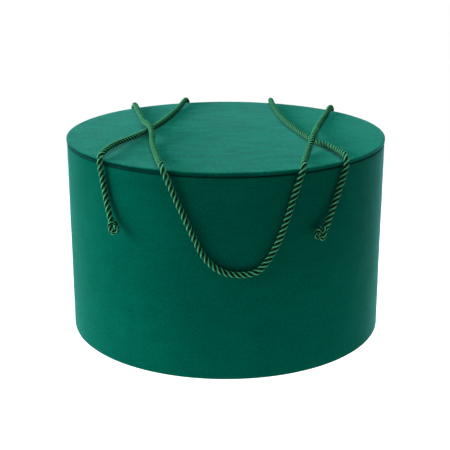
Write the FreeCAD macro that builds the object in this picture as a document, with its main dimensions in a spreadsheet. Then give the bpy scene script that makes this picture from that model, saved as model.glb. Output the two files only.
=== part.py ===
import FreeCAD, Part
import math
import os

import Sketcher

# Round hat box covered in velvet, with a flat lift-off lid and two loose carrying cords.
# Millimetres. The origin is the centre of the base where it stands, +Z is up and -Y is the front.

V = FreeCAD.Vector

# ---- driving dimensions -------------------------------------------------------------------------

DIMENSIONS = {
    "body_diameter": 320.0,  # outside of the velvet on the wall
    "total_height": 200.0,  # floor to the top of the closed lid
    "velvet": 1.0,  # pile and backing of the velvet
    "lining": 0.6,  # lining paper
    "wall_board": 2.5,  # rolled board of the wall
    "base_board": 3.0,
    "base_cover": 1.0,  # card under the base
    "base_cover_inset": 6.0,  # from the outside of the wall to the edge of that card
    "foot_hem": 14.0,  # velvet turned in under the base, from the outside of the wall
    "rim_hem": 16.0,  # velvet turned down inside the rim
    "lid_overhang": 0.5,  # lid beyond the wall, all round
    "lid_board": 2.0,
    "plug_depth": 14.0,  # covered ring below the lid
    "plug_board": 2.0,
    "plug_clearance": 0.7,  # between the covered ring and the hem inside the rim
    "glue_line": 0.1,  # between a board and what is glued round or inside it
    "rim_fold": 1.2,  # outer radius of the velvet folded over the rim and the lid's edges
    "foot_fold": 1.5,  # outer radius of the velvet folded under the base
    "cord_diameter": 5.8,
    "cord_gap": 0.3,  # between a lying cord and the lid
    "knot_diameter": 12.5,
    "knot_length": 12.0,
    "knot_shoulder": 3.0,  # length over which a knot swells from the cord
    "cord_stub": 2.5,  # cut end left below a knot
}

doc = FreeCAD.newDocument("hat_box")
sheet = doc.addObject("Spreadsheet::Sheet", "Dims")
for row, (alias, value) in enumerate(DIMENSIONS.items(), start=1):
    sheet.set(f"A{row}", alias)
    sheet.set(f"B{row}", str(value))
    sheet.setAlias(f"B{row}", alias)
doc.recompute()

# ---- sizes that follow, as expressions on the sheet -----------------------------------------------

# radii, from the outside of the box inwards
OUTER = "(Dims.body_diameter / 2)"
WALL_OUT = f"({OUTER} - Dims.velvet - Dims.glue_line)"
WALL_IN = f"({WALL_OUT} - Dims.wall_board)"
THROAT = f"({WALL_IN} - Dims.glue_line - Dims.velvet)"
LINING_OUT = f"({WALL_IN} - Dims.glue_line)"
LINING_IN = f"({LINING_OUT} - Dims.lining)"
LID = f"({OUTER} + Dims.lid_overhang)"
PLUG_OUT = f"({THROAT} - Dims.plug_clearance)"
RING_OUT = f"({PLUG_OUT} - Dims.lining - Dims.glue_line)"
RING_IN = f"({RING_OUT} - Dims.plug_board)"
PLUG_IN = f"({RING_IN} - Dims.glue_line - Dims.lining)"
CORD = "(Dims.cord_diameter / 2)"
KNOT = "(Dims.knot_diameter / 2)"

# heights above the floor
FOOT = "Dims.base_cover"
BOARD_FOOT = f"({FOOT} + Dims.velvet)"
BASE_TOP = f"({BOARD_FOOT} + Dims.base_board)"
LID_THICKNESS = "(2 * Dims.velvet + Dims.lid_board)"
RIM = f"(Dims.total_height - {LID_THICKNESS})"
PLUG_FOOT = f"({RIM} - Dims.plug_depth)"


def size(expression):
    """The value of an expression on the sheet."""
    return float(sheet.evalExpression(expression))


# ---- makers -------------------------------------------------------------------------------------

pieces = []


def new_body(label):
    body = doc.addObject("PartDesign::Body", label)
    body.Label = label
    pieces.append(body)
    return body


def outline_sketch(body, outline):
    """A closed outline of (radius, height) expressions on the body's XZ plane."""
    sketch = body.newObject("Sketcher::SketchObject", f"{body.Label}_outline")
    plane = next(f for f in body.Origin.OriginFeatures if f.Role == "XZ_Plane")
    sketch.AttachmentSupport = [(plane, "")]
    sketch.MapMode = "FlatFace"
    corners = [V(size(radius), size(height), 0) for radius, height in outline]
    count = len(corners)
    for i in range(count):
        sketch.addGeometry(Part.LineSegment(corners[i], corners[(i + 1) % count]))
    for i in range(count):
        sketch.addConstraint(Sketcher.Constraint("Coincident", i, 2, (i + 1) % count, 1))
    for i, (radius, height) in enumerate(outline):
        for kind, expression, value in (
            ("DistanceX", radius, corners[i].x),
            ("DistanceY", height, corners[i].y),
        ):
            index = sketch.addConstraint(Sketcher.Constraint(kind, -1, 1, i, 1, value))
            if expression != "0":
                sketch.setExpression(f"Constraints[{index}]", expression)
    return sketch


def turned(label, outline, foot="0"):
    """A piece turned about Z from its outline, with its local floor at the height foot."""
    body = new_body(label)
    sketch = outline_sketch(body, outline)
    revolution = body.newObject("PartDesign::Revolution", f"{label}_turned")
    revolution.Profile = sketch
    revolution.ReferenceAxis = (sketch, ["V_Axis"])
    revolution.Angle = 360
    if foot != "0":
        body.setExpression("Placement.Base.z", foot)
    doc.recompute()
    return body


def disc(label, radius, thickness, foot="0"):
    return turned(label, [("0", "0"), (radius, "0"), (radius, thickness), ("0", thickness)], foot)


def tube(label, outside, inside, height, foot="0"):
    outline = [(inside, "0"), (outside, "0"), (outside, height), (inside, height)]
    return turned(label, outline, foot)


def fold(body, radius, circles):
    """Rounds the circular edges at the given (radius, height) places of a piece."""
    solid = body.Tip
    names = []
    for place_radius, place_height in circles:
        wanted = (size(place_radius), size(place_height))
        for i, edge in enumerate(solid.Shape.Edges, start=1):
            if not isinstance(edge.Curve, Part.Circle):
                continue
            found = (edge.Curve.Radius, edge.Curve.Center.z)
            if math.dist(found, wanted) < 1e-4:
                names.append(f"Edge{i}")
    assert len(names) == len(circles), f"{body.Label}: {len(names)} of {len(circles)} edges found"
    fillet = body.newObject("PartDesign::Fillet", f"{body.Label}_fold")
    fillet.Base = (solid, names)
    fillet.setExpression("Radius", radius)
    doc.recompute()


# ---- box body -----------------------------------------------------------------------------------

tube("wall_board", WALL_OUT, WALL_IN, f"{RIM} - Dims.velvet - {BOARD_FOOT}", BOARD_FOOT)
disc("base_board", f"{WALL_IN} - Dims.glue_line", "Dims.base_board", BOARD_FOOT)
disc("base_cover", f"{OUTER} - Dims.base_cover_inset", "Dims.base_cover")

# the velvet runs up the wall, over the rim and down inside it, and in under the base
WRAP_TOP = f"({RIM} - {FOOT})"
WRAP_BACK = f"({OUTER} - Dims.velvet)"
wrap = turned(
    "wall_velvet",
    [
        (f"{OUTER} - Dims.foot_hem", "0"),
        (OUTER, "0"),
        (OUTER, WRAP_TOP),
        (THROAT, WRAP_TOP),
        (THROAT, f"{WRAP_TOP} - Dims.rim_hem"),
        (f"{THROAT} + Dims.velvet", f"{WRAP_TOP} - Dims.rim_hem"),
        (f"{THROAT} + Dims.velvet", f"{WRAP_TOP} - Dims.velvet"),
        (WRAP_BACK, f"{WRAP_TOP} - Dims.velvet"),
        (WRAP_BACK, "Dims.velvet"),
        (f"{OUTER} - Dims.foot_hem", "Dims.velvet"),
    ],
    FOOT,
)
fold(wrap, "Dims.rim_fold", [(OUTER, WRAP_TOP), (THROAT, WRAP_TOP)])
fold(wrap, "Dims.foot_fold", [(OUTER, "0")])

tube("wall_lining", LINING_OUT, LINING_IN, f"{RIM} - Dims.rim_hem - {BASE_TOP}", BASE_TOP)
disc("base_lining", f"{LINING_IN} - Dims.glue_line", "Dims.lining", BASE_TOP)

# ---- lid ----------------------------------------------------------------------------------------

LID_BACK = f"({LID} - Dims.velvet)"
LID_HOLLOW = "(Dims.velvet + Dims.lid_board)"
disc("lid_board", f"{LID_BACK} - Dims.glue_line", "Dims.lid_board", f"{RIM} + Dims.velvet")

# the velvet covers the top, turns down the edge and under, and ends where the ring hides it
cover = turned(
    "lid_velvet",
    [
        (PLUG_IN, "0"),
        (LID, "0"),
        (LID, LID_THICKNESS),
        ("0", LID_THICKNESS),
        ("0", LID_HOLLOW),
        (LID_BACK, LID_HOLLOW),
        (LID_BACK, "Dims.velvet"),
        (PLUG_IN, "Dims.velvet"),
    ],
    RIM,
)
fold(cover, "Dims.rim_fold", [(LID, LID_THICKNESS), (LID, "0")])

tube("lid_ring_board", RING_OUT, RING_IN, "Dims.plug_depth - Dims.lining", f"{PLUG_FOOT} + Dims.lining")
turned(
    "lid_ring_cover",
    [
        (PLUG_IN, "0"),
        (PLUG_OUT, "0"),
        (PLUG_OUT, "Dims.plug_depth"),
        (f"{PLUG_OUT} - Dims.lining", "Dims.plug_depth"),
        (f"{PLUG_OUT} - Dims.lining", "Dims.lining"),
        (f"{PLUG_IN} + Dims.lining", "Dims.lining"),
        (f"{PLUG_IN} + Dims.lining", "Dims.plug_depth"),
        (PLUG_IN, "Dims.plug_depth"),
    ],
    PLUG_FOOT,
)
disc("lid_lining", f"{PLUG_IN} - Dims.glue_line", "Dims.lining", f"{RIM} + Dims.velvet - Dims.lining")

# ---- cords --------------------------------------------------------------------------------------

# Each cord lies over the lid and hangs down the wall at both sides of it, from knot to knot.
# Its centre line is at height 0 where it lies on the lid. The points were laid out on a lid of
# ROUTE_RIM radius, and spread with the lid's own. The front loop passes over the rear loop's tails.
ROUTE_RIM = 160.5
ROUTES = {
    "front_loop": [
        (-104, 134, -57),
        (-108, 129, -34),
        (-110, 131.5, -12),
        (-104.5, 126, 7),
        (-100, 106, 1.5),
        (-91, 66, 0),
        (-84.5, 28, 1.5),
        (-81, 2, 10.5),
        (-76, -24, 10.5),
        (-71, -58, 1.5),
        (-66.5, -88, 0),
        (-62, -118, 0.6),
        (-57, -147, 7.5),
        (-54.5, -161.5, -4),
        (-47.5, -157.3, -22),
        (-39.5, -159.4, -42),
        (-29, -161.6, -64),
        (-19, -163.2, -82),
        (-6, -164.3, -94),
        (12, -163.9, -98),
        (28.5, -161.7, -95),
        (39.5, -159.4, -79),
        (48.5, -156.9, -60),
        (56, -154.4, -39),
        (63.5, -151.5, -20),
        (70.5, -154.5, -3),
        (71, -143, 7.5),
        (73.5, -119, 0.6),
        (78.5, -90, 1.5),
        (84, -66, 10.5),
        (87.5, -38, 10.5),
        (92, 0, 1.5),
        (101, 44, 0),
        (112, 82, 1.5),
        (120.5, 104, 7),
        (126.5, 114, -12),
        (122, 115.5, -34),
        (115, 125, -56),
    ],
    "rear_loop": [
        (-101.5, -134, -57),
        (-107, -126.5, -41),
        (-110.5, -121.7, -23),
        (-117, -123, -5),
        (-115, -110, 7.5),
        (-109, -86, 0.6),
        (-101, -60, 0),
        (-88, -29, 0),
        (-74.5, 6, 0),
        (-62, 55, 0),
        (-52, 112, 0.6),
        (-46, 151, 7.5),
        (-44, 165, -4),
        (-39, 159.5, -22),
        (-31, 161.3, -43),
        (-22, 162.8, -64),
        (-9, 164.1, -80),
        (9, 164.1, -84),
        (26, 162.2, -78),
        (36, 160.3, -61),
        (44, 158.3, -41),
        (50, 156.5, -22),
        (53, 162.3, -4),
        (52, 149, 7.5),
        (54, 110, 0.6),
        (61, 45, 0),
        (73, -8, 0),
        (84.5, -50, 0),
        (97, -73, 0),
        (105.5, -94, 0.6),
        (111, -113.5, 7.5),
        (113, -128, -5),
        (105.5, -128.5, -23),
        (99, -133, -41),
        (90.5, -142, -58),
    ],
}
ARC_SHARE = 0.45  # of the shorter run beside a bend


def cord_path(points):
    """Straight runs joined by tangent arcs through a list of route points."""
    edges = []
    radii = []
    start = points[0]
    for before, corner, after in zip(points, points[1:], points[2:]):
        back = before.sub(corner)
        ahead = after.sub(corner)
        reach = ARC_SHARE * min(back.Length, ahead.Length)
        half_turn = (math.pi - back.getAngle(ahead)) / 2
        radius = reach / math.tan(half_turn)
        back.normalize()
        ahead.normalize()
        enter = corner.add(back * reach)
        leave = corner.add(ahead * reach)
        inward = back.add(ahead)
        inward.normalize()
        middle = corner.add(inward * (radius / math.cos(half_turn) - radius))
        edges.append(Part.LineSegment(start, enter).toShape())
        edges.append(Part.Arc(enter, middle, leave).toShape())
        radii.append(radius)
        start = leave
    edges.append(Part.LineSegment(start, points[-1]).toShape())
    return Part.Wire(edges), radii


def knot(label, end, direction):
    """A knot below the end of a cord, with the cord's cut end below it."""
    bottom = "(Dims.cord_stub + Dims.knot_length)"
    body = turned(
        label,
        [
            ("0", "0"),
            (CORD, "0"),
            (CORD, "Dims.cord_stub"),
            (KNOT, "Dims.cord_stub + Dims.knot_shoulder"),
            (KNOT, f"{bottom} - Dims.knot_shoulder"),
            (CORD, bottom),
            ("0", bottom),
        ],
    )
    turn = FreeCAD.Rotation(V(0, 0, -1), direction)
    body.Placement = FreeCAD.Placement(end.add(direction * size(bottom)), turn)


def cord(name, route):
    spread = size(LID) / ROUTE_RIM
    points = [V(spread * x, spread * y, z) for x, y, z in route]
    path, radii = cord_path(points)
    first_run = points[0].sub(points[1]).normalize()
    section = Part.Wire(Part.makeCircle(size(CORD), points[0], first_run))
    solid = path.makePipeShell([section], True, True)
    feature = doc.addObject("Part::Feature", f"{name}_cord")
    feature.Label = f"{name}_cord"
    feature.Shape = solid
    lying = V(0, 0, size(f"Dims.total_height + {CORD} + Dims.cord_gap"))
    feature.Placement = FreeCAD.Placement(lying, FreeCAD.Rotation())
    pieces.append(feature)

    last_run = points[-1].sub(points[-2]).normalize()
    knot(f"{name}_knot_left", points[0].add(lying), first_run)
    knot(f"{name}_knot_right", points[-1].add(lying), last_run)

    full = math.pi * size(CORD) ** 2 * path.Length
    assert abs(solid.Volume / full - 1) < 0.01, f"{name}: tube volume {solid.Volume:.0f} of {full:.0f}"
    print(f"{name}_cord: {path.Length:.0f} mm, bends {' '.join(f'{r:.0f}' for r in radii)} mm")


for cord_name, cord_route in ROUTES.items():
    cord(cord_name, cord_route)

# ---- checks and files ---------------------------------------------------------------------------

doc.recompute()
for thing in doc.Objects:
    assert not {"Invalid", "Error"} & set(thing.State), f"{thing.Name}: {thing.State}"
for piece in pieces:
    assert not piece.Shape.isNull() and piece.Shape.isValid(), f"{piece.Label}: bad shape"

os.makedirs("parts", exist_ok=True)
for piece in pieces:
    piece.Shape.exportStep(f"parts/{piece.Label}.step")
    print(f"{piece.Label}: {piece.Shape.Volume / 1000:.1f} cm3, {piece.Shape.BoundBox}")
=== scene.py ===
import math

import bmesh
import bpy
import numpy as np
from mathutils import Matrix, Vector, noise


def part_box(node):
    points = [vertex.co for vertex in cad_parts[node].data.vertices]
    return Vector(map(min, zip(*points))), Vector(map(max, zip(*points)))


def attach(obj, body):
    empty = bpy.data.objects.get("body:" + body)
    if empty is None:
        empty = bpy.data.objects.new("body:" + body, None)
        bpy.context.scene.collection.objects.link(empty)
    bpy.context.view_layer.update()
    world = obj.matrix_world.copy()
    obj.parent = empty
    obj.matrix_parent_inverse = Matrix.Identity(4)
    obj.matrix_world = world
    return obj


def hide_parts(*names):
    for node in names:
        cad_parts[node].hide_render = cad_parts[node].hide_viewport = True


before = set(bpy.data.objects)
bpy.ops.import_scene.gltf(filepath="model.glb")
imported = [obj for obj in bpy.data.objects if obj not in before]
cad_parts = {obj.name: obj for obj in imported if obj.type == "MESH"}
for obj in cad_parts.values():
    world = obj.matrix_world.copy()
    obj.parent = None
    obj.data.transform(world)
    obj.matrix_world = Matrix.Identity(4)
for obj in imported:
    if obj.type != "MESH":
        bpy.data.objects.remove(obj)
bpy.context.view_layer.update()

# Round hat box covered in velvet, with a lift-off lid and two loose twisted carrying cords.
# Metres. The origin is the centre of the base where it stands, +Z is up and -Y is the front.


# ---- sizes read from the frame -------------------------------------------------------------------


def distances(node, above=0.0):
    """Smallest and largest distance from the Z axis of a node's points that are higher than `above`."""
    points = [v.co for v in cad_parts[node].data.vertices if v.co.z >= above]
    spans = [math.hypot(p.x, p.y) for p in points]
    return min(spans), max(spans)


WALL_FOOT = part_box("wall_velvet")[0].z
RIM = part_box("wall_velvet")[1].z
LID_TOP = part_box("lid_velvet")[1].z
HEM_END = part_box("wall_lining")[1].z
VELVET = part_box("base_board")[0].z - WALL_FOOT
HALFWAY = RIM / 2

WALL = distances("wall_velvet")[1]
THROAT = distances("wall_velvet", above=HALFWAY)[0]
FOOT_HEM = distances("wall_velvet")[0]
LID = distances("lid_velvet")[1]
LID_HEM = distances("lid_ring_cover")[0]

RIM_FOLD = 0.0012
FOOT_FOLD = 0.0015

CORD_DIAMETER = 0.0058
CORD_GAP = 0.0003
LYING = LID_TOP + CORD_DIAMETER / 2 + CORD_GAP


# ---- camera --------------------------------------------------------------------------------------

CAMERA_PLACE = Vector((0.0, -1.0455, 0.4373))
CAMERA_TARGET = Vector((-0.0007, 0.0, 0.1008))
CAMERA_LENS = 84.0
CAMERA_SENSOR = 36.0


def make_camera():
    data = bpy.data.cameras.new("camera")
    data.lens = CAMERA_LENS
    data.sensor_width = CAMERA_SENSOR
    camera = bpy.data.objects.new("camera", data)
    camera.location = CAMERA_PLACE
    camera.rotation_euler = (CAMERA_TARGET - CAMERA_PLACE).to_track_quat("-Z", "Y").to_euler()
    bpy.context.scene.collection.objects.link(camera)
    bpy.context.scene.camera = camera


make_camera()


# ---- cords: routes and centre lines --------------------------------------------------------------

# Each cord lies over the lid and hangs down the wall at both sides of it, from knot to knot. The
# heights are above the lying cord's centre line. The front loop passes over the rear loop's tails.
ROUTES = {
    "front_loop": [
        (-0.1030, 0.1310, -0.0570), (-0.1058, 0.1253, -0.0340), (-0.1047, 0.1269, -0.0037),
        (-0.1025, 0.1229, 0.0018), (-0.0985, 0.1070, -0.0003), (-0.0910, 0.0660, -0.0002),
        (-0.0845, 0.0280, 0.0002), (-0.0796, 0.0020, 0.0059), (-0.0732, -0.0240, 0.0059),
        (-0.0710, -0.0580, 0.0002), (-0.0665, -0.0880, -0.0002), (-0.0620, -0.1180, -0.0003),
        (-0.0570, -0.1495, 0.0018), (-0.0545, -0.1552, -0.0037), (-0.0466, -0.1566, -0.0220),
        (-0.0378, -0.1590, -0.0420), (-0.0280, -0.1610, -0.0640), (-0.0190, -0.1623, -0.0820),
        (-0.0060, -0.1633, -0.0940), (0.0120, -0.1630, -0.0980), (0.0295, -0.1607, -0.0960),
        (0.0413, -0.1581, -0.0805), (0.0506, -0.1554, -0.0605), (0.0572, -0.1530, -0.0395),
        (0.0628, -0.1508, -0.0200), (0.0684, -0.1496, -0.0037), (0.0696, -0.1441, 0.0018),
        (0.0723, -0.1190, -0.0003), (0.0772, -0.0900, 0.0002), (0.0828, -0.0660, 0.0060),
        (0.0875, -0.0380, 0.0060), (0.0920, 0.0000, 0.0002), (0.1010, 0.0440, -0.0002),
        (0.1105, 0.0830, -0.0003), (0.1168, 0.1094, 0.0018), (0.1190, 0.1111, -0.0037),
        (0.1203, 0.1116, -0.0340), (0.1150, 0.1205, -0.0560),
    ],
    "rear_loop": [
        (-0.1046, -0.1296, -0.0590), (-0.1092, -0.1223, -0.0410), (-0.1122, -0.1188, -0.0230),
        (-0.1152, -0.1174, -0.0037), (-0.1140, -0.1123, 0.0020), (-0.1088, -0.0855, 0.0026),
        (-0.1010, -0.0600, 0.0012), (-0.0880, -0.0290, -0.0002), (-0.0745, 0.0060, -0.0002),
        (-0.0620, 0.0550, -0.0002), (-0.0520, 0.1120, -0.0003), (-0.0455, 0.1534, 0.0018),
        (-0.0446, 0.1583, -0.0037), (-0.0390, 0.1587, -0.0220), (-0.0310, 0.1604, -0.0430),
        (-0.0220, 0.1619, -0.0640), (-0.0090, 0.1632, -0.0800), (0.0090, 0.1632, -0.0840),
        (0.0260, 0.1613, -0.0780), (0.0360, 0.1594, -0.0610), (0.0440, 0.1574, -0.0410),
        (0.0500, 0.1555, -0.0220), (0.0520, 0.1560, -0.0037), (0.0515, 0.1515, 0.0018),
        (0.0540, 0.1100, -0.0003), (0.0610, 0.0450, -0.0002), (0.0730, -0.0080, -0.0002),
        (0.0845, -0.0500, -0.0002), (0.0970, -0.0730, 0.0004), (0.1052, -0.0940, 0.0010),
        (0.1093, -0.1168, 0.0018), (0.1103, -0.1220, -0.0037), (0.1048, -0.1254, -0.0230),
        (0.0986, -0.1309, -0.0410), (0.0904, -0.1400, -0.0610),
    ],
}


def centre_line(name, route):
    """Points read from the smooth spline through a cord's route."""
    curve = bpy.data.curves.new(f"{name}_line", "CURVE")
    curve.dimensions = "3D"
    curve.resolution_u = 16
    spline = curve.splines.new("NURBS")
    spline.points.add(len(route) - 1)
    for point, (x, y, height) in zip(spline.points, route):
        point.co = (x, y, LYING + height, 1.0)
    spline.order_u = 3
    spline.use_endpoint_u = True
    carrier = bpy.data.objects.new(f"{name}_line", curve)
    line = bpy.data.meshes.new_from_object(carrier)
    points = np.array([v.co for v in line.vertices])
    bpy.data.objects.remove(carrier)
    return points


def evenly(points, spacing):
    """The same line with its points at even distances of about `spacing`."""
    run = np.append(0.0, np.cumsum(np.linalg.norm(np.diff(points, axis=0), axis=1)))
    places = np.linspace(0.0, run[-1], round(run[-1] / spacing) + 1)
    return np.column_stack([np.interp(places, run, points[:, axis]) for axis in range(3)])


def smooth_step(values, low, high):
    share = np.clip((values - low) / (high - low), 0.0, 1.0)
    return share * share * (3 - 2 * share)


# ---- meshes from grids of points -----------------------------------------------------------------


def loft(name, grid, charts, closed=False):
    """A skin over a grid of points (rows, columns, 3). Its columns close round each row, and its rows
    close on themselves if `closed`, or else have a cap at each end. `charts` maps UV map names to
    arrays (rows + closed, columns + 1, 2)."""
    rows, columns = grid.shape[:2]
    row, column = np.meshgrid(
        np.arange(rows if closed else rows - 1), np.arange(columns), indexing="ij"
    )
    row, column = row.ravel(), column.ravel()
    next_row, next_column = row + 1, column + 1
    corner_rows = np.column_stack([row, row, next_row, next_row])
    corner_columns = np.column_stack([column, next_column, next_column, column])
    faces = (corner_rows % rows) * columns + corner_columns % columns
    face_list = faces.tolist()
    caps = []
    if not closed:
        caps = [list(range(columns))[::-1], list(range((rows - 1) * columns, rows * columns))]
    mesh = bpy.data.meshes.new(name)
    mesh.from_pydata(grid.reshape(-1, 3).tolist(), [], face_list + caps)
    for chart_name, chart in charts.items():
        layer = mesh.uv_layers.new(name=chart_name)
        spots = chart[corner_rows, corner_columns].reshape(-1, 2)
        if caps:
            ends = [chart[0, :columns][::-1], chart[rows - 1, :columns]]
            spots = np.vstack([spots, *ends])
        layer.data.foreach_set("uv", spots.astype(np.float32).ravel())
    mesh.shade_smooth()
    mesh.validate()
    piece = bpy.data.objects.new(name, mesh)
    bpy.context.scene.collection.objects.link(piece)
    return piece


# ---- knots ---------------------------------------------------------------------------------------

KNOT_POINTS = 96
KNOT_LENGTH = 12.5  # of cord in it and its leads, in cord widths
KNOT_ROUNDS = 700
KNOT_PULL = 0.03  # of the ends in each round, in cord widths
KNOT_FIRST_WIDTH = 0.3  # the turns swell from this to a whole cord width as the knot is pulled
KNOT_STIFFNESS = 0.05  # how far each round straightens the line


def overhand_knot():
    """Centre line of a tight overhand knot along X, in cord widths. An open knot is pulled at both
    ends while its turns keep their length, push apart where they touch, and straighten a little."""
    bend = np.linspace(-2.0, 2.0, 200)
    line = np.column_stack(
        [bend**3 - 3 * bend, 0.8 * (bend**4 - 4 * bend**2), 0.12 * (bend**5 - 10 * bend)]
    )
    lead = np.linspace(0.0, 6.0, 40)[1:, None] * np.array([1.0, 0.0, 0.0])
    line = np.vstack([line[0] - lead[::-1], line, line[-1] + lead])
    line *= KNOT_LENGTH / np.linalg.norm(np.diff(line, axis=0), axis=1).sum()
    step = KNOT_LENGTH / (KNOT_POINTS - 1)
    line = evenly(line, step)
    one, other = np.triu_indices(KNOT_POINTS, round(1.3 / step))
    for knot_round in range(KNOT_ROUNDS):
        line -= line.mean(axis=0)
        line[0, 0] -= KNOT_PULL
        line[-1, 0] += KNOT_PULL
        line[[0, -1], 1:] *= 0.8
        width = min(1.0, KNOT_FIRST_WIDTH + knot_round / (0.7 * KNOT_ROUNDS))
        for _ in range(4):
            for first in (0, 1):
                ahead = line[first + 1 :: 2]
                behind = line[first:-1:2][: len(ahead)]
                gap = ahead - behind
                move = 0.5 * (1 - step / np.linalg.norm(gap, axis=1, keepdims=True)) * gap
                behind += move
                ahead -= move
            gap = line[other] - line[one]
            far = np.linalg.norm(gap, axis=1)
            touching = far < width
            push = 0.5 * np.maximum(width - far, 0.0)[:, None] * gap / far[:, None]
            moved = np.zeros_like(line)
            np.add.at(moved, one, -push)
            np.add.at(moved, other, push)
            touches = np.bincount(one[touching], minlength=KNOT_POINTS)
            touches += np.bincount(other[touching], minlength=KNOT_POINTS)
            line += 1.5 * moved / np.maximum(touches, 1)[:, None]
            line[1:-1] += KNOT_STIFFNESS * (0.5 * (line[:-2] + line[2:]) - line[1:-1])
    return line


KNOT_LINE = overhand_knot()
KNOT_ENTRY = 0.0045  # length over which the cord narrows into the knot
KNOT_START = -1.35  # from the knot's middle to where it meets the cord, in cord widths
KNOT_CUT = 1.15  # how far past its middle the end is cut

# turn about the cord in degrees, 1 or -1 for which way round the knot is tied, and the width of
# the cord where the knot squeezes it, as a share of its own
KNOTS = {
    "front_loop_knot_left": (40.0, 1, 0.60),
    "front_loop_knot_right": (200.0, -1, 0.60),
    "rear_loop_knot_left": (320.0, -1, 0.64),
    "rear_loop_knot_right": (200.0, 1, 0.67),
}


def knot_line(name, end, direction):
    """The knot's centre line from a cord's end, which runs on in `direction`."""
    turn, hand, squeeze = KNOTS[name]
    kept = (KNOT_LINE[:, 0] > KNOT_START) & (KNOT_LINE[:, 0] < KNOT_CUT)
    line = KNOT_LINE[kept] * np.array([1.0, 1.0, hand]) * (squeeze * CORD_DIAMETER)
    along = Vector(direction).normalized()
    side = along.cross(Vector((0.0, 0.0, 1.0))).normalized()
    up = side.cross(along)
    angle = math.radians(turn)
    across = side * math.cos(angle) + up * math.sin(angle)
    third = along.cross(across)
    placed = line @ np.array([along, across, third])
    return placed - placed[0] + np.array(end) + np.array(along) * 0.0005


# ---- cords: the three-strand twist ---------------------------------------------------------------

STRANDS = 3
TWIST_PITCH = 0.0166  # along the cord for one turn of a strand
STRAND_RADIUS = 0.466 * CORD_DIAMETER / 2
STRAND_PLACE = CORD_DIAMETER / 2 - STRAND_RADIUS  # of a strand's middle, from the cord's
STRAND_POINTS = 10  # round the part of each strand that shows
RING_SPACING = 0.0008


def strand_section():
    """Points round the outside of three strands that touch: (along the normal, the binormal)."""
    reach = math.pi / STRANDS
    half_arc = reach + math.asin(min(1.0, STRAND_PLACE * math.sin(reach) / STRAND_RADIUS))
    ring = []
    for strand in range(STRANDS):
        turned = Matrix.Rotation(2 * reach * strand, 2)
        for k in range(STRAND_POINTS):
            angle = half_arc * (2 * k / STRAND_POINTS - 1)
            x = STRAND_PLACE + STRAND_RADIUS * math.cos(angle)
            y = STRAND_RADIUS * math.sin(angle)
            ring.append(turned @ Vector((x, y)))
    return np.array(ring)


def carried_frames(points):
    """Tangents and normals along a line, each normal turned from the last as little as can be."""
    tangents = np.gradient(points, axis=0)
    tangents /= np.linalg.norm(tangents, axis=1, keepdims=True)
    normals = np.zeros_like(points)
    normal = np.cross(tangents[0], (0.0, 0.0, 1.0))
    for i, tangent in enumerate(tangents):
        normal = normal - tangent * (normal @ tangent)
        normal /= np.linalg.norm(normal)
        normals[i] = normal
    return tangents, normals


def twisted(name, points, tangents, normals, run, widths):
    """A length of twisted cord along `points`, as its own piece."""
    section = strand_section()
    binormals = np.cross(tangents, normals)
    phase = 2 * math.pi * run / TWIST_PITCH
    cos, sin = np.cos(phase)[:, None], np.sin(phase)[:, None]
    across = (section[:, 0] * cos - section[:, 1] * sin) * widths[:, None]
    upward = (section[:, 0] * sin + section[:, 1] * cos) * widths[:, None]
    grid = points[:, None] + across[..., None] * normals[:, None]
    grid += upward[..., None] * binormals[:, None]
    turns = np.arange(len(section) + 1) / STRAND_POINTS
    chart = np.stack(np.broadcast_arrays(run[:, None], turns[None]), axis=-1)
    return loft(name, grid, {"rope": chart})


def make_cord(name, route):
    """A cord with its two knots: one twist runs through all three pieces."""
    line = evenly(centre_line(name, route), RING_SPACING)
    left = knot_line(f"{name}_knot_left", line[0], line[0] - line[1])
    right = knot_line(f"{name}_knot_right", line[-1], line[-1] - line[-2])
    left = evenly(left, RING_SPACING / 2)[::-1]
    right = evenly(right, RING_SPACING / 2)
    points = np.vstack([left, line, right])
    first, last = len(left), len(left) + len(line) - 1
    tangents, normals = carried_frames(points)
    run = np.append(0.0, np.cumsum(np.linalg.norm(np.diff(points, axis=0), axis=1)))
    squeeze_left, squeeze_right = KNOTS[f"{name}_knot_left"][2], KNOTS[f"{name}_knot_right"][2]
    half = KNOT_ENTRY / 2
    widths = 1 - (1 - squeeze_left) * smooth_step(run[first] - run, -half, half)
    widths -= (1 - squeeze_right) * smooth_step(run - run[last], -half, half)

    def stretch(piece_name, begin, end):
        part = slice(begin, end + 1)
        return twisted(piece_name, points[part], tangents[part], normals[part], run[part], widths[part])

    cord = stretch(f"{name}_twist", first, last)
    knot_left = stretch(f"{name}_end_left", 0, first)
    knot_right = stretch(f"{name}_end_right", last, len(points) - 1)
    for piece, node in (
        (cord, f"{name}_cord"),
        (knot_left, f"{name}_knot_left"),
        (knot_right, f"{name}_knot_right"),
    ):
        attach(piece, "lid")
        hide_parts(node)
    return [cord, knot_left, knot_right]


cord_pieces = []
for cord_name, cord_route in ROUTES.items():
    cord_pieces += make_cord(cord_name, cord_route)


# ---- velvet covers -------------------------------------------------------------------------------

SEGMENTS = 384
CLOTH_STEP = 0.003  # between the points of an outline
FOLD_POINTS = 5  # round a fold
MERGE = 1e-6  # points closer than this to each other or to the Z axis are one


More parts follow.
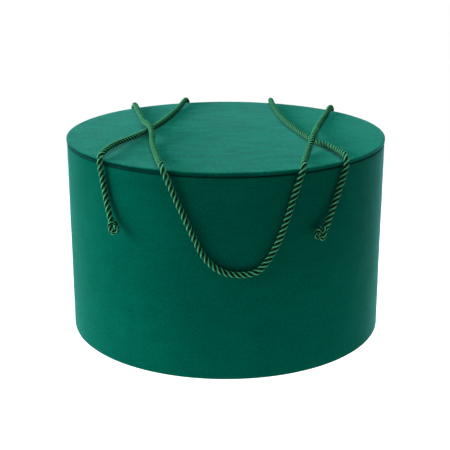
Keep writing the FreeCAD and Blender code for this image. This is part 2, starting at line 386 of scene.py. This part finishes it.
def outline(corners):
    """Points along a closed outline. Each corner is (radius, height, radius of its fold)."""
    corners = [(Vector((radius, height)), fold) for radius, height, fold in corners]
    bends = []
    for i, (corner, fold) in enumerate(corners):
        if fold == 0:
            bends.append([corner])
            continue
        back = (corners[i - 1][0] - corner).normalized()
        ahead = (corners[(i + 1) % len(corners)][0] - corner).normalized()
        centre = corner + (back + ahead) * fold
        start, end = -ahead, -back
        bends.append(
            [
                centre + (start * math.cos(turn) + end * math.sin(turn)) * fold
                for turn in np.linspace(0.0, math.pi / 2, FOLD_POINTS)
            ]
        )
    points = []
    for i, bend in enumerate(bends):
        points += bend
        last, following = bend[-1], bends[(i + 1) % len(bends)][0]
        count = max(1, round((following - last).length / CLOTH_STEP))
        points += [last.lerp(following, k / count) for k in range(1, count)]
    return np.array(points)


def rumple(points, size, seed):
    """Smooth noise from -1 to 1 at points, with hollows and swells about `size` across."""
    shift = Vector((seed, 0.0, 0.0))
    flat = points.reshape(-1, 3)
    values = [noise.noise(Vector(p) / size + shift) for p in flat]
    return np.array(values).reshape(points.shape[:-1])


def turned_grid(section):
    """Points (segments, outline, 3) of an outline turned about Z, and each segment's angle."""
    angles = 2 * math.pi * np.arange(SEGMENTS) / SEGMENTS + math.pi / 2
    radii, heights = section[:, 0], section[:, 1]
    x = np.cos(angles)[:, None] * radii
    y = np.sin(angles)[:, None] * radii
    z = np.broadcast_to(heights, x.shape)
    return np.stack([x, y, z], axis=-1), angles


def pushed(grid, outward, upward):
    """The grid with its points moved away from the Z axis and up."""
    spans = np.linalg.norm(grid[..., :2], axis=-1)
    grow = 1 + outward / np.maximum(spans, MERGE)
    moved = grid * np.stack([grow, grow, np.ones_like(grow)], axis=-1)
    moved[..., 2] += upward
    return moved


SEAM_WIDTH = 0.012
SEAM_EASE = 0.006  # over which the lap thins out
SEAM_HEIGHT = 0.0007
WALL_RUMPLE = 0.00022
HEM_GATHERS = 150  # round each hem
GATHER_DEPTH = 0.00022
# small dents in the wall: sideways place, height, size and depth
DENTS = [
    (-0.0860, 0.0600, 0.006, 0.0006),
    (-0.0845, 0.0380, 0.004, 0.0004),
    (-0.0935, 0.1320, 0.005, 0.0005),
    (0.0220, 0.0740, 0.003, 0.0003),
]


def make_wall_velvet():
    """The velvet round the wall: over the rim and down inside it, and in under the base."""
    section = outline(
        [
            (FOOT_HEM, WALL_FOOT, 0),
            (WALL, WALL_FOOT, FOOT_FOLD),
            (WALL, RIM, RIM_FOLD),
            (THROAT, RIM, RIM_FOLD),
            (THROAT, HEM_END, 0),
            (THROAT + VELVET, HEM_END, 0),
            (THROAT + VELVET, RIM - VELVET, 0),
            (WALL - VELVET, RIM - VELVET, 0),
            (WALL - VELVET, WALL_FOOT + VELVET, 0),
            (FOOT_HEM, WALL_FOOT + VELVET, 0),
        ]
    )
    grid, angles = turned_grid(section)
    radii, heights = section[:, 0], section[:, 1]
    outside = smooth_step(radii, WALL - VELVET, WALL - 0.2 * VELVET)
    inside = smooth_step(radii, THROAT + 0.6 * VELVET, THROAT) * (heights > HALFWAY)
    under = smooth_step(heights, WALL_FOOT + 0.6 * VELVET, WALL_FOOT) * smooth_step(
        radii, WALL, WALL - 0.004
    )
    outward = WALL_RUMPLE * (rumple(grid, 0.03, 3) + 0.4 * rumple(grid, 0.009, 9)) * outside
    for across, height, size, depth in DENTS:
        place = (across, -math.sqrt(WALL**2 - across**2), height)
        far = np.linalg.norm(grid - place, axis=-1)
        outward -= depth * np.exp(-((far / size) ** 2)) * outside

    # the strip's ends lap at the back, with the outer end folded under
    along = (angles - math.pi / 2) * WALL
    along = np.where(along > math.pi * WALL, along - 2 * math.pi * WALL, along)
    lap = smooth_step(along, -0.001, 0.0005) * smooth_step(along, SEAM_WIDTH, SEAM_WIDTH - SEAM_EASE)
    outward += SEAM_HEIGHT * lap[:, None] * outside

    gathers = np.sin(angles * HEM_GATHERS + 2.0 * np.sin(5 * angles))[:, None]
    hem = smooth_step(heights, RIM - 0.002, HEM_END)
    outward += GATHER_DEPTH * gathers * inside * hem
    upward = 0.00025 * (1 - gathers) * under * smooth_step(radii, WALL - 0.003, FOOT_HEM)
    grid = pushed(grid, outward, upward)

    steps = np.diff(section, axis=0, append=section[:1])
    lengths = np.append(0.0, np.linalg.norm(steps, axis=1).cumsum())
    turns = np.linspace(0.0, 2 * math.pi * WALL, SEGMENTS + 1)
    chart = np.stack(np.broadcast_arrays(turns[:, None], lengths[None]), axis=-1)
    piece = loft("wall_covering", grid, {"cloth": chart}, closed=True)
    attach(piece, "box")
    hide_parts("wall_velvet")
    return piece


LID_RUMPLE = 0.00018
LID_SWELL = 0.00012  # the most that the lid's velvet stands up, so that it stays under the cords
EDGE_RUMPLE = 0.00008


def make_lid_velvet():
    """The velvet over the lid: down its edge, and in under it as far as the ring."""
    section = outline(
        [
            (LID_HEM, RIM, 0),
            (LID, RIM, RIM_FOLD),
            (LID, LID_TOP, RIM_FOLD),
            (0.0, LID_TOP, 0),
            (0.0, LID_TOP - VELVET, 0),
            (LID - VELVET, LID_TOP - VELVET, 0),
            (LID - VELVET, RIM + VELVET, 0),
            (LID_HEM, RIM + VELVET, 0),
        ]
    )
    grid, angles = turned_grid(section)
    radii, heights = section[:, 0], section[:, 1]
    on_top = smooth_step(heights, LID_TOP - 0.5 * VELVET, LID_TOP)
    at_edge = smooth_step(radii, LID - 0.5 * VELVET, LID)
    under = smooth_step(heights, RIM + 0.6 * VELVET, RIM) * smooth_step(radii, LID, LID - 0.003)
    upward = LID_RUMPLE * (rumple(grid, 0.045, 5) + 0.5 * rumple(grid, 0.012, 7)) * on_top
    upward = np.minimum(upward, LID_SWELL)
    gathers = np.sin(angles * HEM_GATHERS + 1.5 * np.sin(4 * angles))[:, None]
    upward += GATHER_DEPTH * (1 - gathers) * under * smooth_step(radii, LID - 0.002, LID_HEM)
    outward = EDGE_RUMPLE * rumple(grid, 0.008, 11) * at_edge
    grid = pushed(grid, outward, upward)

    closed_section = np.vstack([section, section[:1]])
    turning = np.append(angles, angles[0])[:, None]
    drop = np.where(closed_section[:, 1] < LID_TOP - RIM_FOLD, LID_TOP - closed_section[:, 1], 0.0)
    spread = closed_section[:, 0] + drop
    chart = np.stack([spread * np.cos(turning), spread * np.sin(turning)], axis=-1)
    piece = loft("lid_covering", grid, {"cloth": chart}, closed=True)
    skin = bmesh.new()
    skin.from_mesh(piece.data)
    bmesh.ops.remove_doubles(skin, verts=skin.verts, dist=MERGE)
    skin.to_mesh(piece.data)
    skin.free()
    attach(piece, "lid")
    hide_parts("lid_velvet")
    return piece


wall_covering = make_wall_velvet()
lid_covering = make_lid_velvet()


# ---- materials -----------------------------------------------------------------------------------


class Value:
    """A shader socket that takes part in sums: each sum adds a Math node."""

    def __init__(self, finish, socket):
        self.finish = finish
        self.socket = socket

    def maths(self, operation, *values):
        inputs = dict(enumerate(values))
        return self.finish.node("Math", {"operation": operation}, inputs)

    def __add__(self, other):
        return self.maths("ADD", self, other)

    def __sub__(self, other):
        return self.maths("SUBTRACT", self, other)

    def __rsub__(self, other):
        return self.maths("SUBTRACT", other, self)

    def __mul__(self, other):
        return self.maths("MULTIPLY", self, other)

    __radd__ = __add__
    __rmul__ = __mul__

    def clipped(self):
        return self.finish.node("Clamp", {}, {"Value": self})

    def sine(self):
        return self.maths("SINE", self)

    def size(self):
        """The value without its sign."""
        return self.maths("ABSOLUTE", self)

    def fraction(self):
        return self.maths("FRACT", self)

    def spread(self, low, high):
        """From 0 at low to 1 at high, smoothly."""
        limits = {"Value": self, "From Min": low, "From Max": high}
        return self.finish.node("MapRange", {"interpolation_type": "SMOOTHSTEP"}, limits)


class Finish:
    """The nodes of one material, or of the world, and the one maker of them."""

    def __init__(self, owner):
        owner.use_nodes = True
        self.owner = owner
        self.tree = owner.node_tree
        self.tree.nodes.clear()

    def node(self, kind, settings, inputs, output=0):
        """A node of a type: its settings come first, then the values or links of its sockets."""
        made = self.tree.nodes.new(f"ShaderNode{kind}")
        for name, value in settings.items():
            setattr(made, name, value)
        for key, value in inputs.items():
            socket = made.inputs[key]
            if isinstance(value, Value):
                self.tree.links.new(value.socket, socket)
            else:
                socket.default_value = value
        return Value(self, made.outputs[output] if made.outputs else None)

    def place(self, chart):
        """The UV map of that name, in metres."""
        return self.node("UVMap", {"uv_map": chart}, {})

    def scaled(self, vector, scale):
        return self.node("VectorMath", {"operation": "MULTIPLY"}, {0: vector, 1: scale})

    def noise(self, vector, scale, detail=2.0, roughness=0.5):
        inputs = {"Vector": vector, "Scale": scale, "Detail": detail, "Roughness": roughness}
        return self.node("TexNoise", {}, inputs)

    def blend(self, share, first, second):
        """From the first colour to the second."""
        settings = {"data_type": "RGBA"}
        return self.node("Mix", settings, {0: share, 6: first, 7: second}, output=2)

    def bump(self, height, depth, strength):
        return self.node("Bump", {}, {"Height": height, "Distance": depth, "Strength": strength})

    def surface(self, **sockets):
        """The Principled shader on the output, with its sockets by name."""
        inputs = {name.replace("_", " "): value for name, value in sockets.items()}
        shader = self.node("BsdfPrincipled", {}, inputs)
        self.node("OutputMaterial", {}, {"Surface": shader})
        return self.owner


def colour(red, green, blue):
    return (red, green, blue, 1.0)


def velvet_pile(finish, on_lid):
    """How the velvet's pile leans, from 0 to 1, and the relief of it. Strokes and pressed patches
    lean another way, and the lid has stronger ones than the wall."""
    cloth = finish.place("cloth")
    pile = finish.noise(cloth, 1100.0, detail=3.0, roughness=0.7)
    along_cloth = finish.scaled(cloth, (40.0, 75.0, 1.0))
    strokes = finish.noise(along_cloth, 1.0, detail=4.0, roughness=0.6)
    nap = finish.noise(cloth, 330.0, detail=2.0)
    patches = finish.noise(cloth, 16.0, detail=2.0)
    stroked = (strokes - 0.5) * (0.12 + 0.26 * on_lid) + (nap - 0.5) * (0.15 + 0.25 * on_lid)
    lean = 0.7 * (pile - 0.5) + stroked + 0.1 * (patches - 0.5)
    return lean.spread(-0.12, 0.12), 0.6 * pile + 0.4 * strokes


def velvet():
    """Short-pile velvet, lighter or darker as its pile lies, with painted light on the lid and painted
    shade at the joint and on the left of the lid's edge.
    """
    finish = Finish(bpy.data.materials.new("velvet"))
    spot = finish.node("TexCoord", {}, {}, output=3)
    height = finish.node("SeparateXYZ", {}, {0: spot}, output=2)
    sideways = finish.node("SeparateXYZ", {}, {0: spot})
    on_lid = height.spread(RIM, RIM + 0.001)
    on_top = height.spread(LID_TOP - 0.001, LID_TOP - 0.0003)
    on_edge = on_lid - on_top
    tone, relief = velvet_pile(finish, on_lid)
    shade = finish.blend(tone, colour(0.0, 0.057, 0.038), colour(0.0, 0.103, 0.068))

    # painted light: the lid's top is coloured lighter than the wall, more so towards the right, and its
    # edge at the right is lightened a little too
    tone_and_right_light = tone + 0.35 * sideways.spread(0.0, 0.15)
    lid_tone_and_light = finish.blend(tone_and_right_light, colour(0.001, 0.072, 0.048), colour(0.003, 0.143, 0.094))
    shade = finish.blend(on_top + on_edge * sideways.spread(-0.02, 0.06) * 0.4, shade, lid_tone_and_light)

    # painted shade: nearly black round the outside where the lid meets the box
    flat_spot = finish.scaled(spot, (1.0, 1.0, 0.0))
    from_axis = finish.node("VectorMath", {"operation": "LENGTH"}, {0: flat_spot}, output=1)
    at_joint = 1 - (height - RIM).size().spread(0.0004, 0.0018)
    joint_shade = from_axis.spread(WALL - 0.0012, WALL - 0.0004) * at_joint
    shade = finish.blend(joint_shade * 0.75, shade, colour(0.0, 0.008, 0.006))

    # painted shade: the lid's edge is darkened on its left part
    left_edge_shade = (0.02 - sideways).spread(0.0, 0.12) * on_edge
    shade = finish.blend(left_edge_shade * 0.75, shade, colour(0.0, 0.010, 0.008))
    return finish.surface(
        Base_Color=shade,
        Roughness=0.85 - 0.1 * tone,
        Specular_IOR_Level=0.0,
        Sheen_Weight=0.35,
        Sheen_Roughness=0.30,
        Sheen_Tint=colour(0.30, 1.0, 0.97),
        Normal=finish.bump(relief, 0.0004, 0.6),
    )


YARNS = 6.0  # round each strand
YARN_TURNS = 160.0  # of the yarns in a metre of cord


def satin_cord():
    """Satin twist: fine yarns run along each strand; a highlight is painted on each strand's crest, and
    shade on its flanks and in the grooves between strands.
    """
    finish = Finish(bpy.data.materials.new("satin_cord"))
    rope = finish.place("rope")
    along = finish.node("SeparateXYZ", {}, {0: rope})
    across = finish.node("SeparateXYZ", {}, {0: rope}, output=1)
    yarn_turns = across * YARNS - along * YARN_TURNS
    ridges = (yarn_turns * (2 * math.pi)).sine() * 0.5 + 0.5
    fluff = finish.noise(finish.scaled(rope, (900.0, 6.0, 1.0)), 1.0, detail=2.0)
    depth = (across.fraction() - 0.5).size()
    # painted shade on each strand's flanks and, nearly black, in the grooves between strands; painted
    # highlight on its crest, varied by the yarn ridges
    flank = depth.spread(0.02, 0.17)
    groove = depth.spread(0.22, 0.45)
    crest_highlight = finish.blend(
        (0.6 * ridges + 0.4 * fluff).clipped(), colour(0.030, 0.32, 0.14), colour(0.080, 0.58, 0.28)
    )
    side = finish.blend(ridges, colour(0.002, 0.025, 0.012), colour(0.005, 0.055, 0.027))
    shade = finish.blend(flank, crest_highlight, side)
    shade = finish.blend(groove, shade, colour(0.0005, 0.010, 0.005))
    normal = finish.bump(0.8 * ridges + 0.2 * fluff, 0.00012, 0.7)
    return finish.surface(
        Base_Color=shade,
        Metallic=0.2,
        Roughness=0.45 + 0.25 * groove,
        Specular_IOR_Level=0.3,
        Specular_Tint=colour(0.40, 1.0, 0.60),
        Normal=normal,
    )


def grey_board():
    """Grey-brown box board: pressed pulp with darker fibres."""
    finish = Finish(bpy.data.materials.new("grey_board"))
    place = finish.node("TexCoord", {}, {}, output=3)
    pulp = finish.noise(place, 220.0, detail=4.0, roughness=0.6)
    fibres = finish.noise(finish.scaled(place, (700.0, 700.0, 2500.0)), 1.0, detail=2.0)
    tone = (0.5 * pulp + 0.5 * fibres).spread(0.35, 0.65)
    shade = finish.blend(tone, colour(0.33, 0.28, 0.21), colour(0.47, 0.41, 0.32))
    normal = finish.bump(fibres, 0.0002, 0.5)
    return finish.surface(Base_Color=shade, Roughness=0.85 + 0.1 * pulp, Normal=normal)


def lining_paper():
    """Uncoated paper with a faint laid grain and small fibres."""
    finish = Finish(bpy.data.materials.new("lining_paper"))
    place = finish.node("TexCoord", {}, {}, output=3)
    mottle = finish.noise(place, 60.0, detail=3.0)
    grain = finish.noise(finish.scaled(place, (1500.0, 1500.0, 350.0)), 1.0, detail=3.0)
    tone = (0.5 * mottle + 0.5 * grain).spread(0.35, 0.65)
    shade = finish.blend(tone, colour(0.63, 0.60, 0.53), colour(0.76, 0.73, 0.66))
    normal = finish.bump(grain, 0.0001, 0.4)
    return finish.surface(Base_Color=shade, Roughness=0.7 + 0.15 * grain, Normal=normal)


def base_paper():
    """Embossed dark paper under the base, rubbed paler where it stands."""
    finish = Finish(bpy.data.materials.new("base_paper"))
    place = finish.node("TexCoord", {}, {}, output=3)
    cells = finish.node(
        "TexVoronoi", {"feature": "DISTANCE_TO_EDGE"}, {"Vector": place, "Scale": 700.0}
    )
    pebbles = cells.spread(0.0, 0.25)
    rubbed = finish.noise(place, 25.0, detail=4.0).spread(0.5, 0.75)
    shade = finish.blend(rubbed * pebbles, colour(0.016, 0.017, 0.016), colour(0.055, 0.058, 0.055))
    normal = finish.bump(pebbles, 0.00025, 0.8)
    return finish.surface(Base_Color=shade, Roughness=0.62 - 0.15 * rubbed, Normal=normal)


def wear(piece, material):
    piece.data.materials.clear()
    piece.data.materials.append(material)


def wear_node(node, material):
    """Gives a CAD node a material, and leaves its shape alone."""
    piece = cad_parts[node]
    for place in piece.material_slots:
        place.link = "OBJECT"
        place.material = material


velvet_finish = velvet()
cord_finish = satin_cord()
board_finish = grey_board()
lining_finish = lining_paper()
base_finish = base_paper()

for covering in (wall_covering, lid_covering):
    wear(covering, velvet_finish)
for cord_piece in cord_pieces:
    wear(cord_piece, cord_finish)
for board in ("wall_board", "base_board", "lid_board", "lid_ring_board"):
    wear_node(board, board_finish)
for paper in ("wall_lining", "base_lining", "lid_lining", "lid_ring_cover"):
    wear_node(paper, lining_finish)
wear_node("base_cover", base_finish)


# ---- floor and light -----------------------------------------------------------------------------

FLOOR_SIZE = 12.0
# near the object the floor is grey paper with a white glow, and from here to FLOOR_FAR it turns
# into plain white, which lights the object less than it shows
FLOOR_NEAR = 0.25
FLOOR_FAR = 0.8
FLOOR_GLOW = colour(1.35, 1.35, 1.35)
FAR_FLOOR_LIGHT = colour(0.3, 0.3, 0.3)
WHITE = colour(1.0, 1.0, 1.0)
SKY_LIGHT = 0.08  # strength of the world's light, next to the white that it shows


def make_floor():
    """A plain floor under the object, which shows white."""
    finish = Finish(bpy.data.materials.new("pale_floor"))
    place = finish.node("TexCoord", {}, {}, output=3)
    away = finish.node("VectorMath", {"operation": "LENGTH"}, {0: place}, output=1)
    far = away.spread(FLOOR_NEAR, FLOOR_FAR)
    mottle = finish.noise(place, 4.0, detail=2.0)
    shade = finish.blend(mottle, colour(0.24, 0.24, 0.24), colour(0.26, 0.26, 0.26))
    seen = finish.node("LightPath", {}, {})
    beyond = finish.blend(seen, FAR_FLOOR_LIGHT, WHITE)
    material = finish.surface(
        Base_Color=finish.blend(far, shade, colour(0.0, 0.0, 0.0)),
        Roughness=0.9,
        Specular_IOR_Level=0.1,
        Emission_Color=finish.blend(far, FLOOR_GLOW, beyond),
        Emission_Strength=1.0,
    )
    half = FLOOR_SIZE / 2
    mesh = bpy.data.meshes.new("floor")
    corners = [(-half, -half, 0.0), (half, -half, 0.0), (half, half, 0.0), (-half, half, 0.0)]
    mesh.from_pydata(corners, [], [(0, 1, 2, 3)])
    mesh.materials.append(material)
    floor = bpy.data.objects.new("floor", mesh)
    bpy.context.scene.collection.objects.link(floor)


def soft_box(name, place, target, size, power):
    """A large square light that faces its target."""
    light = bpy.data.lights.new(name, "AREA")
    light.shape = "SQUARE"
    light.size = size
    light.energy = power
    lamp = bpy.data.objects.new(name, light)
    lamp.location = place
    lamp.rotation_euler = (Vector(target) - Vector(place)).to_track_quat("-Z", "Y").to_euler()
    bpy.context.scene.collection.objects.link(lamp)


def make_world():
    """White to look at, and a weaker light on the object."""
    world = bpy.data.worlds.new("studio")
    bpy.context.scene.world = world
    finish = Finish(world)
    seen = finish.node("LightPath", {}, {})
    level = finish.node("MapRange", {}, {"Value": seen, "To Min": SKY_LIGHT, "To Max": 1.0})
    sky = finish.node("Background", {}, {"Color": WHITE, "Strength": level})
    finish.node("OutputWorld", {}, {"Surface": sky})


make_floor()
make_world()
MIDDLE = (0.0, 0.0, 0.1)
soft_box("overhead", (0.3, 0.2, 2.2), MIDDLE, 1.6, 51.0)
soft_box("left", (-1.7, -0.04, 0.5), MIDDLE, 1.5, 60.0)
bpy.context.scene.view_settings.view_transform = "Standard"
